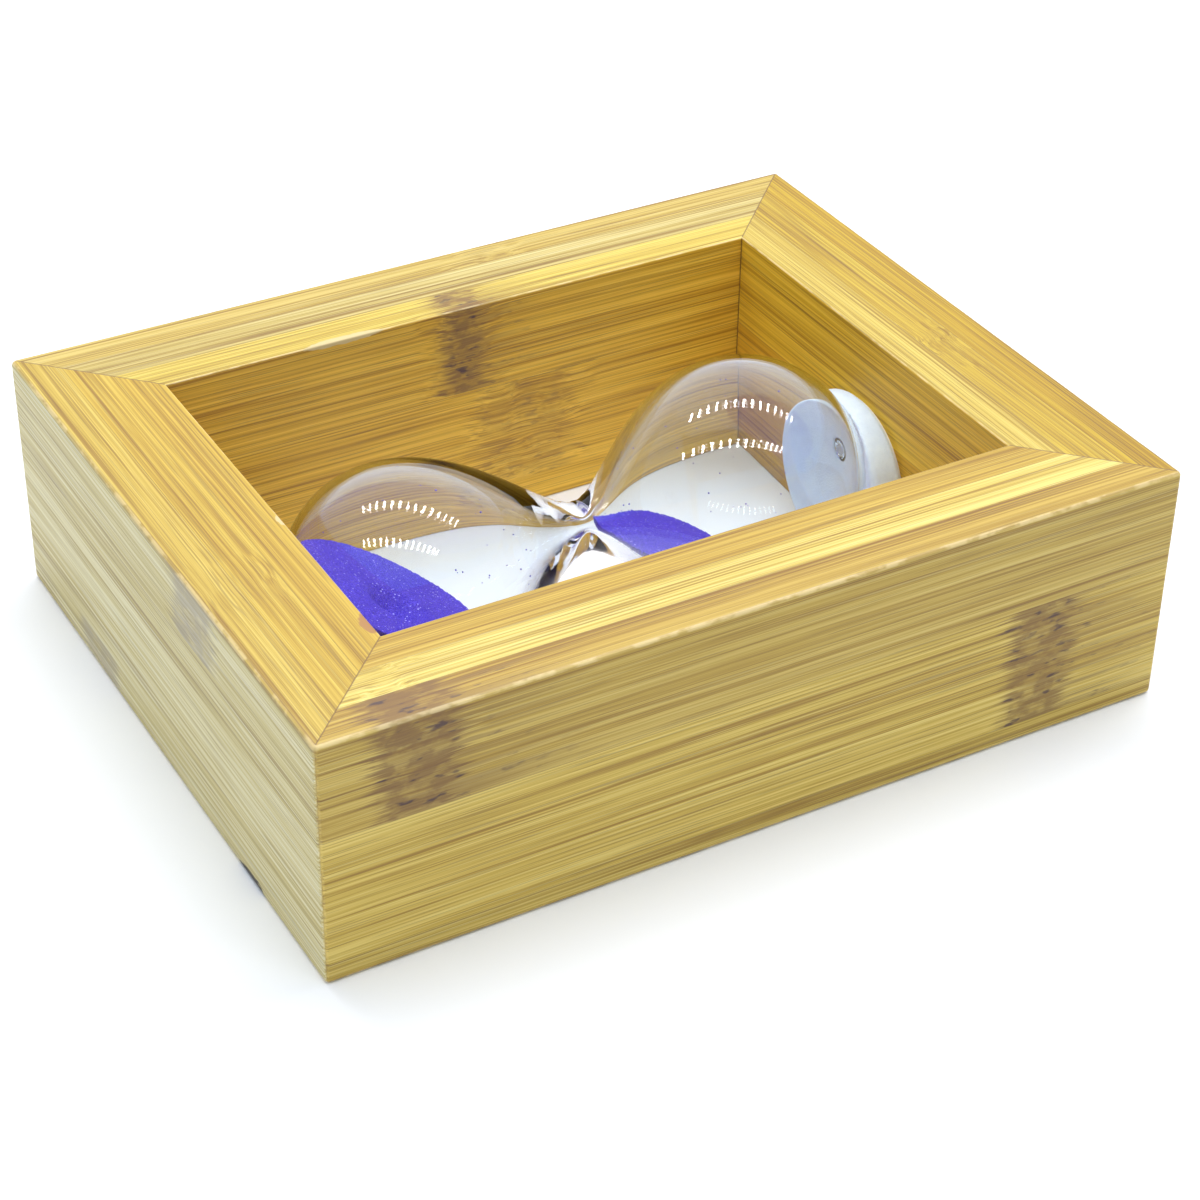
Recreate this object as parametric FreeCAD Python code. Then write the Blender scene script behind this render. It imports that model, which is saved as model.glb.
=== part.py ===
import FreeCAD, Part
import math
import os

from FreeCAD import Vector

# Hourglass in a bamboo frame, lying on one face of the frame.
# X runs along the long rails and the glass, Y across the frame, Z up.
# The origin is the centre of the face that it rests on. Sizes are millimetres.

# Frame
frame_length = 160.0
frame_width = 128.0
frame_height = 46.0
rail_width = 21.0
outer_edge_radius = 0.9
opening_edge_radius = 0.35

# Each rail is sawn from a laminated board: plies side by side across the rail,
# and each ply is a stack of bamboo strips whose seams are staggered.
plies_per_rail = 3
strip_height = 24.0
face_ply_first_seam = 3.8
core_ply_first_seam = 15.5
thinnest_strip = 1.0

# Corner dowels, two across each mitre
dowel_radius = 3.0
dowel_length = 16.0
dowel_spacing = 22.0
dowel_side_clearance = 0.1
dowel_end_clearance = 0.5

# Glass vessel: two pear-shaped bulbs blown on one neck
glass_wall = 1.2
bulb_face_clearance = 0.4
left_bulb_undersize = 1.8
neck_radius = 4.7
orifice_radius = 0.9
seal_tip_radius = 1.7
seal_tip_length = 2.2

# Curve handles of a bulb's flank, as shares of the distance from the neck to the belly.
# The longer the handle, the longer the flank stays level with the neck or the belly.
neck_pull = 0.2
belly_pull = 0.48

# Cushion pads that hold the glass between the short rails. They sit low, just clear of the face that
# the frame lies on.
pad_radius = 16.0
pad_thickness = 6.4
pad_web = 2.4
pad_to_glass = 0.15
pad_floor_clearance = 1.2
tape_thickness = 0.6
tape_inset = 1.0
seal_tip_clearance = 0.6

# Sand, banked towards the left end in both bulbs
sand_to_glass = 0.3
sand_slope = 32.0
left_bank_past_belly = 6.4
right_bank_from_neck = 3.7
sand_from_neck = 2.5

# Worked out from the sizes above
opening_length = frame_length - 2 * rail_width
opening_width = frame_width - 2 * rail_width
ply_thickness = rail_width / plies_per_rail
axis_height = frame_height / 2
pad_height = pad_radius + pad_floor_clearance
bulb_length = opening_length / 2 - tape_thickness - pad_web
right_bulb_radius = frame_height / 2 - bulb_face_clearance
left_bulb_radius = right_bulb_radius - left_bulb_undersize
overrun = 5.0

# Turn about Z that takes a rail drawn on the +Y side to its own side,
# and the rail's length and its outer face's distance from the middle
rails = {
    "back": (0.0, frame_length, frame_width / 2),
    "left": (90.0, frame_width, frame_length / 2),
    "front": (180.0, frame_length, frame_width / 2),
    "right": (-90.0, frame_width, frame_length / 2),
}


def turned(shape, degrees):
    """The shape turned about the Z axis."""
    result = shape.copy()
    result.rotate(Vector(0, 0, 0), Vector(0, 0, 1), degrees)
    return result


def centred_block(length, width, height):
    return Part.makeBox(length, width, height, Vector(-length / 2, -width / 2, 0))


def frame_ring():
    """The whole frame before it is divided: a rounded block with a through opening."""
    block = centred_block(frame_length, frame_width, frame_height)
    block = block.makeFillet(outer_edge_radius, block.Edges)
    opening = centred_block(opening_length, opening_width, frame_height + 2 * overrun)
    opening.translate(Vector(0, 0, -overrun))
    ring = block.cut(opening)
    rims = [edge for edge in ring.Edges if is_opening_rim(edge)]
    return ring.makeFillet(opening_edge_radius, rims)


def is_opening_rim(edge):
    """True for the eight long edges of the opening in the frame's two faces."""
    box = edge.BoundBox
    inside = box.XMax < opening_length / 2 + 0.01 and box.XMin > -opening_length / 2 - 0.01
    inside = inside and box.YMax < opening_width / 2 + 0.01 and box.YMin > -opening_width / 2 - 0.01
    return inside and box.ZLength < 0.01


def mitre_prism(run, reach):
    """The part of the ring's plan that belongs to the rail on the +Y side."""
    outer = reach + overrun
    inner = reach - rail_width - overrun
    half_outer = run / 2 + overrun
    half_inner = run / 2 - rail_width - overrun
    corners = [
        Vector(-half_outer, outer, -overrun),
        Vector(half_outer, outer, -overrun),
        Vector(half_inner, inner, -overrun),
        Vector(-half_inner, inner, -overrun),
    ]
    outline = Part.makePolygon(corners + corners[:1])
    return Part.Face(outline).extrude(Vector(0, 0, frame_height + 2 * overrun))


def strip_levels(first_seam):
    """Heights of the seams between a ply's strips, with the frame's two faces."""
    levels = [-overrun]
    seam = first_seam
    while seam < frame_height - thinnest_strip:
        levels.append(seam)
        seam += strip_height
    levels.append(frame_height + overrun)
    return levels


def ply_strips(rail, run, reach, ply):
    """One ply of a rail, 0 at the opening, as its separate strips."""
    near = reach - rail_width + ply * ply_thickness
    is_face_ply = ply in (0, plies_per_rail - 1)
    levels = strip_levels(face_ply_first_seam if is_face_ply else core_ply_first_seam)
    strips = []
    for bottom, top in zip(levels[:-1], levels[1:]):
        slab = Part.makeBox(run + 2 * overrun, ply_thickness, top - bottom,
                            Vector(-run / 2 - overrun, near, bottom))
        strips.append(rail.common(slab))
    return strips


def ply_name(ply):
    if ply == 0:
        return "inner_ply"
    if ply == plies_per_rail - 1:
        return "outer_ply"
    return "core_ply" if plies_per_rail == 3 else "core_ply_%d" % ply


def corner_pegs(radius, length, x_side, y_side):
    """Two pegs that lie square across the mitre of one corner."""
    across = Vector(x_side, -y_side, 0)
    across.normalize()
    middle = Vector(x_side * (frame_length - rail_width) / 2, y_side * (frame_width - rail_width) / 2, 0)
    pegs = []
    for level in (-dowel_spacing / 2, dowel_spacing / 2):
        start = middle + Vector(0, 0, axis_height + level) - across * (length / 2)
        pegs.append(Part.makeCylinder(radius, length, start, across))
    return pegs


def bulb_edges(length, radius, neck, side, end_radius=0.0):
    """Outline of one bulb: an S-shaped flank from the neck to the belly, and a round dome from
    there to the pole, or to where the dome has narrowed to end_radius."""
    belly = length - radius
    flank = Part.BezierCurve()
    flank.setPoles([
        Vector(0, 0, neck),
        Vector(side * neck_pull * belly, 0, neck),
        Vector(side * (1 - belly_pull) * belly, 0, radius),
        Vector(side * belly, 0, radius),
    ])
    last_angle = math.acos(end_radius / radius)
    dome = [Vector(side * (belly + radius * math.sin(angle)), 0, radius * math.cos(angle))
            for angle in (0, last_angle / 2, last_angle)]
    return [flank.toShape(), Part.Arc(*dome).toShape()]


def room_edges(shrink, neck):
    """Outline of the room inside the glass, from the left pole to the right pole."""
    length = bulb_length - shrink
    left = bulb_edges(length, left_bulb_radius - shrink, neck, -1)
    return left + bulb_edges(length, right_bulb_radius - shrink, neck, 1)


def glass_edges():
    """Outer outline of the glass, with the closed-off filling stem at the right-hand pole."""
    left = bulb_edges(bulb_length, left_bulb_radius, neck_radius, -1)
    right = bulb_edges(bulb_length, right_bulb_radius, neck_radius, 1, seal_tip_radius)
    corner = right[-1].valueAt(right[-1].LastParameter)
    end = bulb_length + seal_tip_length
    shoulder = Vector(end - seal_tip_radius, 0, seal_tip_radius)
    half_way = seal_tip_radius * math.sin(math.radians(45))
    bend = Vector(end - seal_tip_radius + half_way, 0, half_way)
    stem = [Part.makeLine(corner, shoulder), Part.Arc(shoulder, bend, Vector(end, 0, 0)).toShape()]
    return left + right + stem


def turned_on_axis(edges):
    """The solid that a closed half section sweeps about the glass axis, at its height in the frame."""
    section = Part.Face(Part.Wire(Part.__sortEdges__(edges)))
    solid = section.revolve(Vector(0, 0, 0), Vector(1, 0, 0), 360)
    solid.translate(Vector(0, 0, axis_height))
    return solid if solid.Volume > 0 else solid.reversed()


def vessel_room(shrink, neck):
    """The room inside the glass, or with a negative shrink a skin just outside it."""
    length = bulb_length - shrink
    spine = Part.makeLine(Vector(-length, 0, 0), Vector(length, 0, 0))
    return turned_on_axis(room_edges(shrink, neck) + [spine])


def glass_vessel():
    inner_pole = bulb_length - glass_wall
    axis_ends = [
        Part.makeLine(Vector(-bulb_length, 0, 0), Vector(-inner_pole, 0, 0)),
        Part.makeLine(Vector(inner_pole, 0, 0), Vector(bulb_length + seal_tip_length, 0, 0)),
    ]
    return turned_on_axis(glass_edges() + room_edges(glass_wall, orifice_radius) + axis_ends)


def bank_of_sand(side, crossing):
    """Sand in one bulb, below a slope that falls to the right and crosses the axis at crossing."""
    room = vessel_room(glass_wall + sand_to_glass, orifice_radius - sand_to_glass)
    reach = frame_length
    start = sand_from_neck if side > 0 else -reach
    half = Part.makeBox(reach - sand_from_neck, reach, reach, Vector(start, -reach / 2, -reach / 2))
    below = Part.makeBox(2 * reach, reach, reach, Vector(-reach, -reach / 2, -reach))
    below.rotate(Vector(0, 0, 0), Vector(0, 1, 0), sand_slope)
    below.translate(Vector(crossing, 0, axis_height))
    return room.common(half).common(below)


def end_pad(side):
    """Cushion disc, set below the glass axis, with a dish that the end of the bulb sits in."""
    wall = side * (opening_length / 2 - tape_thickness)
    pad = Part.makeCylinder(pad_radius, pad_thickness, Vector(wall, 0, pad_height),
                            Vector(-side, 0, 0))
    pad = pad.cut(vessel_room(-pad_to_glass, neck_radius))
    if side > 0:
        hole = Part.makeCylinder(seal_tip_radius + seal_tip_clearance, pad_thickness,
                                 Vector(wall, 0, axis_height), Vector(-1, 0, 0))
        pad = pad.cut(hole)
    return pad


def tape_disc(side):
    """Double-sided tape between a pad and its rail."""
    wall = side * opening_length / 2
    return Part.makeCylinder(pad_radius - tape_inset, tape_thickness,
                             Vector(wall, 0, pad_height), Vector(-side, 0, 0))


def save(shapes, name):
    """Writes one node, made of one or more closed solids."""
    solids = [solid for shape in shapes for solid in shape.Solids]
    node = solids[0] if len(solids) == 1 else Part.makeCompound(solids)
    node.exportStep("parts/%s.step" % name)
    print("%-24s %d solids %10.1f mm3 valid %s" % (name, len(solids), node.Volume, node.isValid()))


def build():
    os.makedirs("parts", exist_ok=True)

    ring = frame_ring()
    corners = {
        "front_left": (-1, -1),
        "front_right": (1, -1),
        "back_left": (-1, 1),
        "back_right": (1, 1),
    }
    holes = []
    for name, (x_side, y_side) in corners.items():
        save(corner_pegs(dowel_radius, dowel_length, x_side, y_side), name + "_dowels")
        holes += corner_pegs(dowel_radius + dowel_side_clearance, dowel_length + 2 * dowel_end_clearance,
                             x_side, y_side)
    drilled = ring.cut(holes)

    for name, (turn, run, reach) in rails.items():
        rail = turned(drilled, -turn).common(mitre_prism(run, reach))
        for ply in range(plies_per_rail):
            strips = [turned(strip, turn) for strip in ply_strips(rail, run, reach, ply)]
            save(strips, "%s_rail_%s" % (name, ply_name(ply)))

    save([glass_vessel()], "glass_vessel")
    left_crossing = -(bulb_length - left_bulb_radius + left_bank_past_belly)
    save([bank_of_sand(-1, left_crossing)], "left_bulb_sand")
    save([bank_of_sand(1, right_bank_from_neck)], "right_bulb_sand")
    for name, side in (("left", -1), ("right", 1)):
        save([end_pad(side)], name + "_end_pad")
        save([tape_disc(side)], name + "_tape_disc")


build()
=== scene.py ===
import math
import random

import bpy
from mathutils import Matrix, Vector


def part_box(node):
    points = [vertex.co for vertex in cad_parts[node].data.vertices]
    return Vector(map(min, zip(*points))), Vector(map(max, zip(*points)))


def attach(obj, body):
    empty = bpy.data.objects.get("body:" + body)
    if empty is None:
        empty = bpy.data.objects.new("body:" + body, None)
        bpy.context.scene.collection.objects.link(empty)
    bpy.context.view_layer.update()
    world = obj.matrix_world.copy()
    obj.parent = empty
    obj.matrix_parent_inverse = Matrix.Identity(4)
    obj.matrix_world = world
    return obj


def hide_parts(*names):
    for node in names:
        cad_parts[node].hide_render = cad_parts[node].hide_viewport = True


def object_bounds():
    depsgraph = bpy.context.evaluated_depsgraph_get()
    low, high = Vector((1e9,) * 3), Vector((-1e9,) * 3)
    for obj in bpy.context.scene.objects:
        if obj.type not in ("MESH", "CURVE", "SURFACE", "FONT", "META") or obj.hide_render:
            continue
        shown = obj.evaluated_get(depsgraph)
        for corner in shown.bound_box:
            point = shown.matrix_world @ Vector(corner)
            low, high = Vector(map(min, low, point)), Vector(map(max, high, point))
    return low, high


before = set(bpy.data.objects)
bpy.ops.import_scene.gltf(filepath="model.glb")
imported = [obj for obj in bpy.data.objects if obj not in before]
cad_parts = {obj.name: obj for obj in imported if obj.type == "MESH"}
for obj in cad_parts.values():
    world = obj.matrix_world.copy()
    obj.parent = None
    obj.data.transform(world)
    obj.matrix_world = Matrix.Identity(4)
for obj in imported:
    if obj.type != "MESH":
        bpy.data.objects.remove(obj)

cadLow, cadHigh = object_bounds()
mm = 0.001
mergeDistance = 0.002 * mm
roundSteps = 96  # round the sand and the pads
print("frame loaded:", len(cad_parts), "nodes")


# small helpers for meshes

def deselectAll():
    if bpy.context.object is not None and bpy.context.object.mode != "OBJECT":
        bpy.ops.object.mode_set(mode="OBJECT")
    bpy.ops.object.select_all(action="DESELECT")


def activate(obj):
    deselectAll()
    obj.select_set(True)
    bpy.context.view_layer.objects.active = obj


def addModifier(obj, kind, **settings):
    activate(obj)
    modifier = obj.modifiers.new(kind.lower(), kind)
    for key, value in settings.items():
        setattr(modifier, key, value)
    bpy.ops.object.modifier_apply(modifier=modifier.name)


def settle(obj):
    # the finished piece sits at the origin, its place is in its mesh
    activate(obj)
    bpy.ops.object.transform_apply(location=True, rotation=True, scale=True)


def spinOutline(name, outline, height, steps, inside=False):
    # outline is a list of (x, radius); it is extruded point by point and spun about the X axis
    deselectAll()
    bpy.ops.mesh.primitive_plane_add(size=mm, location=(0, 0, 0))
    obj = bpy.context.object
    obj.name = obj.data.name = name
    bpy.ops.object.mode_set(mode="EDIT")
    bpy.ops.mesh.select_all(action="SELECT")
    bpy.ops.mesh.merge(type="CENTER")
    bpy.ops.transform.translate(value=(outline[0][0], 0, outline[0][1]))
    for here, there in zip(outline, outline[1:]):
        step = (there[0] - here[0], 0, there[1] - here[1])
        bpy.ops.mesh.extrude_region_move(TRANSFORM_OT_translate={"value": step})
    bpy.ops.mesh.select_all(action="SELECT")
    bpy.ops.mesh.spin(steps=steps, angle=2 * math.pi, center=(0, 0, 0), axis=(1, 0, 0))
    bpy.ops.mesh.select_all(action="SELECT")
    bpy.ops.mesh.remove_doubles(threshold=mergeDistance)
    bpy.ops.mesh.normals_make_consistent(inside=inside)
    bpy.ops.transform.translate(value=(0, 0, height))
    bpy.ops.object.mode_set(mode="OBJECT")
    bpy.ops.object.shade_smooth()
    settle(obj)
    return obj


def arcPoints(centre, radius, start, end, count):
    # points on an arc in the (x, radius) plane, angles in degrees from +X
    turns = [math.radians(start + (end - start) * i / count) for i in range(count + 1)]
    return [(centre[0] + radius * math.cos(a), centre[1] + radius * math.sin(a)) for a in turns]


# small helpers for materials

def feed(tree, socket, value):
    if isinstance(value, bpy.types.NodeSocket):
        tree.links.new(value, socket)
    else:
        socket.default_value = value


def newMaterial(name):
    mat = bpy.data.materials.new(name)
    mat.use_nodes = True
    return mat, mat.node_tree.nodes["Principled BSDF"]


def maths(tree, operation, first, second=0.0):
    node = tree.nodes.new("ShaderNodeMath")
    node.operation = operation
    feed(tree, node.inputs[0], first)
    feed(tree, node.inputs[1], second)
    return node.outputs[0]


def fade(tree, value, low, high):
    # 0 at low, 1 at high, smooth between
    node = tree.nodes.new("ShaderNodeMapRange")
    node.interpolation_type = "SMOOTHSTEP"
    feed(tree, node.inputs["Value"], value)
    node.inputs["From Min"].default_value = low
    node.inputs["From Max"].default_value = high
    return node.outputs["Result"]


def spread(tree, vector, scales):
    node = tree.nodes.new("ShaderNodeMapping")
    feed(tree, node.inputs["Vector"], vector)
    node.inputs["Scale"].default_value = scales
    return node.outputs[0]


def noise(tree, vector, scale, detail=2.0, roughness=0.5):
    node = tree.nodes.new("ShaderNodeTexNoise")
    feed(tree, node.inputs["Vector"], vector)
    node.inputs["Scale"].default_value = scale
    node.inputs["Detail"].default_value = detail
    node.inputs["Roughness"].default_value = roughness
    return node.outputs[0]


def cells(tree, vector, scale):
    node = tree.nodes.new("ShaderNodeTexVoronoi")
    feed(tree, node.inputs["Vector"], vector)
    node.inputs["Scale"].default_value = scale
    return node


def colours(tree, factor, stops, interpolation="LINEAR"):
    node = tree.nodes.new("ShaderNodeValToRGB")
    node.color_ramp.interpolation = interpolation
    elements = node.color_ramp.elements
    while len(elements) < len(stops):
        elements.new(1.0)
    for element, (position, colour) in zip(elements, stops):
        element.position = position
        element.color = (*colour, 1.0)
    feed(tree, node.inputs[0], factor)
    return node.outputs[0]


def blendColours(tree, factor, first, second, blend="MIX"):
    node = tree.nodes.new("ShaderNodeMix")
    node.data_type = "RGBA"
    node.blend_type = blend
    feed(tree, node.inputs[0], factor)
    for socket, value in ((node.inputs[6], first), (node.inputs[7], second)):
        feed(tree, socket, (*value, 1.0) if isinstance(value, tuple) else value)
    return node.outputs[2]


def bump(tree, shader, height, strength, distance):
    node = tree.nodes.new("ShaderNodeBump")
    node.inputs["Strength"].default_value = strength
    node.inputs["Distance"].default_value = distance
    feed(tree, node.inputs["Height"], height)
    tree.links.new(node.outputs[0], shader.inputs["Normal"])


def objectPlace(tree):
    # object coordinates in millimetres
    place = tree.nodes.new("ShaderNodeTexCoord").outputs["Object"]
    return spread(tree, place, (1 / mm, 1 / mm, 1 / mm))


# camera

cameraSetup = {
    "azimuth": -29.84,
    "elevation": 34.59,
    "roll": 0.877,
    "distance": 0.495,
    "target": (-0.006, -0.0179, 0.020),
    "lens": 86.3,
    "sensor": 36.0,
    "clip": (0.01, 20.0),
}


def makeCamera(setup):
    azimuth = math.radians(setup["azimuth"])
    elevation = math.radians(setup["elevation"])
    flat = math.cos(elevation)
    back = Vector((math.sin(azimuth) * flat, -math.cos(azimuth) * flat, math.sin(elevation)))
    data = bpy.data.cameras.new("camera")
    data.lens = setup["lens"]
    data.sensor_width = setup["sensor"]
    data.clip_start, data.clip_end = setup["clip"]
    camera = bpy.data.objects.new("camera", data)
    bpy.context.scene.collection.objects.link(camera)
    look = (-back).to_track_quat("-Z", "Y").to_matrix().to_4x4()
    roll = Matrix.Rotation(math.radians(setup["roll"]), 4, "Z")
    place = Vector(setup["target"]) + back * setup["distance"]
    camera.matrix_world = Matrix.Translation(place) @ look @ roll
    bpy.context.scene.camera = camera


makeCamera(cameraSetup)
print("camera set")


# floor, room and lights

studio = {
    "floorSize": 4.0,
    "floorGap": 0.05 * mm,
    "floorColour": (0.945, 0.95, 0.955),
    "floorRoughness": 0.85,
    "stripHeight": 0.60,
    "stripAcross": Vector((0.57, 0.82, 0)),
    "stripAlong": Vector((0.82, -0.57, 0)),
    "stripDepth": 0.08,
    "strips": (
        {"offset": 0.16, "start": -0.36, "end": 0.45, "watts": 2.9},
        {"offset": -0.25, "start": -0.36, "end": 0.45, "watts": 0.9},
    ),
    "dotSize": 0.015,
    "dotColumns": 14,
    "dotRows": 3,
    "dotGap": 0.034,
    "dotDrop": 0.01,  # the diodes hang this far below their strip
    "dotColour": (1.0, 0.99, 0.97),
    "dotStrength": 170.0,
    "sky": (
        (0.0, (0.30, 0.33, 0.36)),
        (0.35, (0.36, 0.40, 0.44)),
        (0.75, (0.70, 0.80, 0.90)),
        (1.0, (0.78, 0.88, 1.0)),
    ),
    "fillStrength": 1.0,
    "sweep": (0.45, 0.78, 0.43),  # towards the white paper sweep behind the object
    "sweepEdge": (0.10, 0.95),
    "sweepColour": (0.86, 0.88, 1.0),
    "sweepLift": 0.22,
}


def makeFloor(setup):
    deselectAll()
    height = cadLow.z - setup["floorGap"]
    bpy.ops.mesh.primitive_plane_add(size=setup["floorSize"], location=(0, 0, height))
    floor = bpy.context.object
    floor.name = "floor"
    settle(floor)
    mat, shader = newMaterial("paperFloor")
    shader.inputs["Base Color"].default_value = (*setup["floorColour"], 1.0)
    shader.inputs["Roughness"].default_value = setup["floorRoughness"]
    floor.data.materials.append(mat)


def makeRoom(setup):
    world = bpy.data.worlds.new("room")
    bpy.context.scene.world = world
    world.use_nodes = True
    tree = world.node_tree
    background = tree.nodes["Background"]
    direction = tree.nodes.new("ShaderNodeTexCoord").outputs["Generated"]
    split = tree.nodes.new("ShaderNodeSeparateXYZ")
    tree.links.new(direction, split.inputs[0])
    sky = colours(tree, split.outputs[2], setup["sky"])
    towards = tree.nodes.new("ShaderNodeVectorMath")
    towards.operation = "DOT_PRODUCT"
    tree.links.new(direction, towards.inputs[0])
    towards.inputs[1].default_value = setup["sweep"]
    onSweep = fade(tree, towards.outputs["Value"], *setup["sweepEdge"])
    sky = blendColours(tree, onSweep, sky, setup["sweepColour"])
    tree.links.new(sky, background.inputs["Color"])
    lift = maths(tree, "MULTIPLY", onSweep, setup["sweepLift"])
    tree.links.new(maths(tree, "ADD", lift, setup["fillStrength"]), background.inputs["Strength"])


def diodeMaterial(setup):
    mat, shader = newMaterial("lampDot")
    shader.inputs["Base Color"].default_value = (0, 0, 0, 1)
    shader.inputs["Emission Color"].default_value = (*setup["dotColour"], 1.0)
    shader.inputs["Emission Strength"].default_value = setup["dotStrength"]
    return mat


def makeDiodes(setup, name, place, turn, length, mat):
    # the strip's separate diodes, which only show as reflections
    deselectAll()
    bpy.ops.mesh.primitive_plane_add(size=setup["dotSize"])
    dots = bpy.context.object
    dots.name = name
    pitch = length / (setup["dotColumns"] - 1)
    addModifier(dots, "ARRAY", count=setup["dotColumns"], use_relative_offset=False,
                use_constant_offset=True, constant_offset_displace=(pitch, 0, 0))
    addModifier(dots, "ARRAY", count=setup["dotRows"], use_relative_offset=False,
                use_constant_offset=True, constant_offset_displace=(0, setup["dotGap"], 0))
    depth = setup["dotGap"] * (setup["dotRows"] - 1)
    corner = Matrix.Translation((-length / 2, -depth / 2, 0))
    hang = Matrix.Translation(place - Vector((0, 0, setup["dotDrop"])))
    dots.matrix_world = hang @ Matrix.Rotation(turn, 4, "Z") @ corner
    settle(dots)
    dots.data.materials.append(mat)
    dots.visible_diffuse = False
    dots.visible_shadow = False
    dots.visible_camera = False


def makeStrips(setup):
    diodes = diodeMaterial(setup)
    turn = math.atan2(setup["stripAlong"].y, setup["stripAlong"].x)
    for number, strip in enumerate(setup["strips"]):
        length = strip["end"] - strip["start"]
        across = setup["stripAcross"] * strip["offset"]
        along = setup["stripAlong"] * ((strip["start"] + strip["end"]) / 2)
        place = across + along + Vector((0, 0, setup["stripHeight"]))
        data = bpy.data.lights.new("strip%d" % number, "AREA")
        data.shape = "RECTANGLE"
        data.size = length
        data.size_y = setup["stripDepth"]
        data.energy = strip["watts"]
        light = bpy.data.objects.new("strip%d" % number, data)
        light.location = place
        light.rotation_euler = (0, 0, turn)
        light.visible_glossy = False
        light.visible_transmission = False
        bpy.context.scene.collection.objects.link(light)
        makeDiodes(setup, "dots%d" % number, place, turn, length, diodes)


makeFloor(studio)
makeRoom(studio)
makeStrips(studio)
bpy.context.scene.view_settings.view_transform = "Standard"
print("floor, room and lights made")


# bamboo rails

bamboo = {
    "light": (0.77, 0.575, 0.185),
    "middle": (0.59, 0.40, 0.075),
    "dark": (0.355, 0.197, 0.026),
    "toneStops": (0.40, 0.485, 0.58),
    "toneShares": {"fine": 0.50, "streaks": 0.28, "broad": 0.22},
    "thread": (0.88, 0.73, 0.32),
    "threadFade": (0.58, 0.70),
    "threadShare": 0.4,
    "line": (0.16, 0.08, 0.02),
    "vesselFade": (0.59, 0.66),
    "vesselShare": 0.36,
    "brown": (0.20, 0.10, 0.035),
    "brownShare": 0.85,
    "core": (0.085, 0.045, 0.038),
    "smudge": (0.36, 0.31, 0.26),
    "faceSeams": (3.8, 27.8),  # heights of the glue lines between strips, mm
    "coreSeams": (15.5, 39.5),
    "seamWidth": 0.13,
    "plyLineWidth": 0.10,
    "lineShare": 0.45,
    "mitreOffset": (cadHigh.x - cadHigh.y) / mm,
    "mitreWidth": 0.28,
    "mitreShare": 0.8,
    "wearAndHighlight": (0.93, 0.73, 0.36),
    "wearAndHighlightFade": (0.96, 0.66),
    "wearAndHighlightLevel": 0.8,  # share of the pale edge band, real wear and painted highlight, that only level edges get
    "wearAndHighlightOverMitre": 0.8,  # how far the pale edge band hides a mitre line
    "wearAndHighlightPatches": (0.42, 0.58),
    "wearAndHighlightLeast": 0.15,
    "wearAndHighlightGain": 0.40,
    "caneStep": 3.7,  # shifts the fibres from one strip to the next
    "fibreStretch": 0.005,
    "blotchScale": (0.22, 0.42, 0.42),
    "onFace": (0.6, 0.95),
    "onLevel": (0.0, 0.45),
    "roughness": 0.36,
    "fibreRough": 0.22,
    "stainRough": 0.18,
    "fibreHeight": 0.7,
    "vesselDepth": 0.4,
    "pitDepth": 1.6,
    "lineDepth": 1.2,
    "bumpStrength": 0.6,
    "fibreBump": 0.05 * mm,
}

# fibre patterns: squeeze along the rail, scale, detail, roughness
fibrePatterns = {
    "fine": (1.0, 2.3, 3.0, 0.7),
    "streaks": (1.0, 1.0, 2.0, 0.55),
    "threads": (1.0, 3.1, 1.0, 0.5),
    "broad": (2.0, 0.26, 1.0, 0.5),
    "vessels": (1.8, 3.7, 1.0, 0.5),
}

nodeMark = {
    "streakRag": 14.0,
    "fibreRag": 8.0,
    "ragMiddle": 11.0,
    "edge": (1.0, -3.0),  # mm past the half length, where a mark starts and where it is full
    "cloudFade": (0.36, 0.56),
    "tailReach": -8.0,  # the tail fades in from here, mm from the middle
    "tailFade": (0.42, 0.56),
    "tailShare": 0.75,
    "pitScale": (0.26, 0.80, 0.80),
    "pitFade": (0.59, 0.70),
    "restSwing": 0.05,
    "swingBeyond": 7.0,  # mm past the half length, where fibres start to swing
    "swingWithin": 0.3,  # share of the half length, where they swing in full
    "swingScale": (0.07, 0.11, 0.11),
    "swingHeight": 2.2,
}

chipEdge = {
    "ragged": 2.4,
    "fade": (1.1, 0.8),
}
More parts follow.
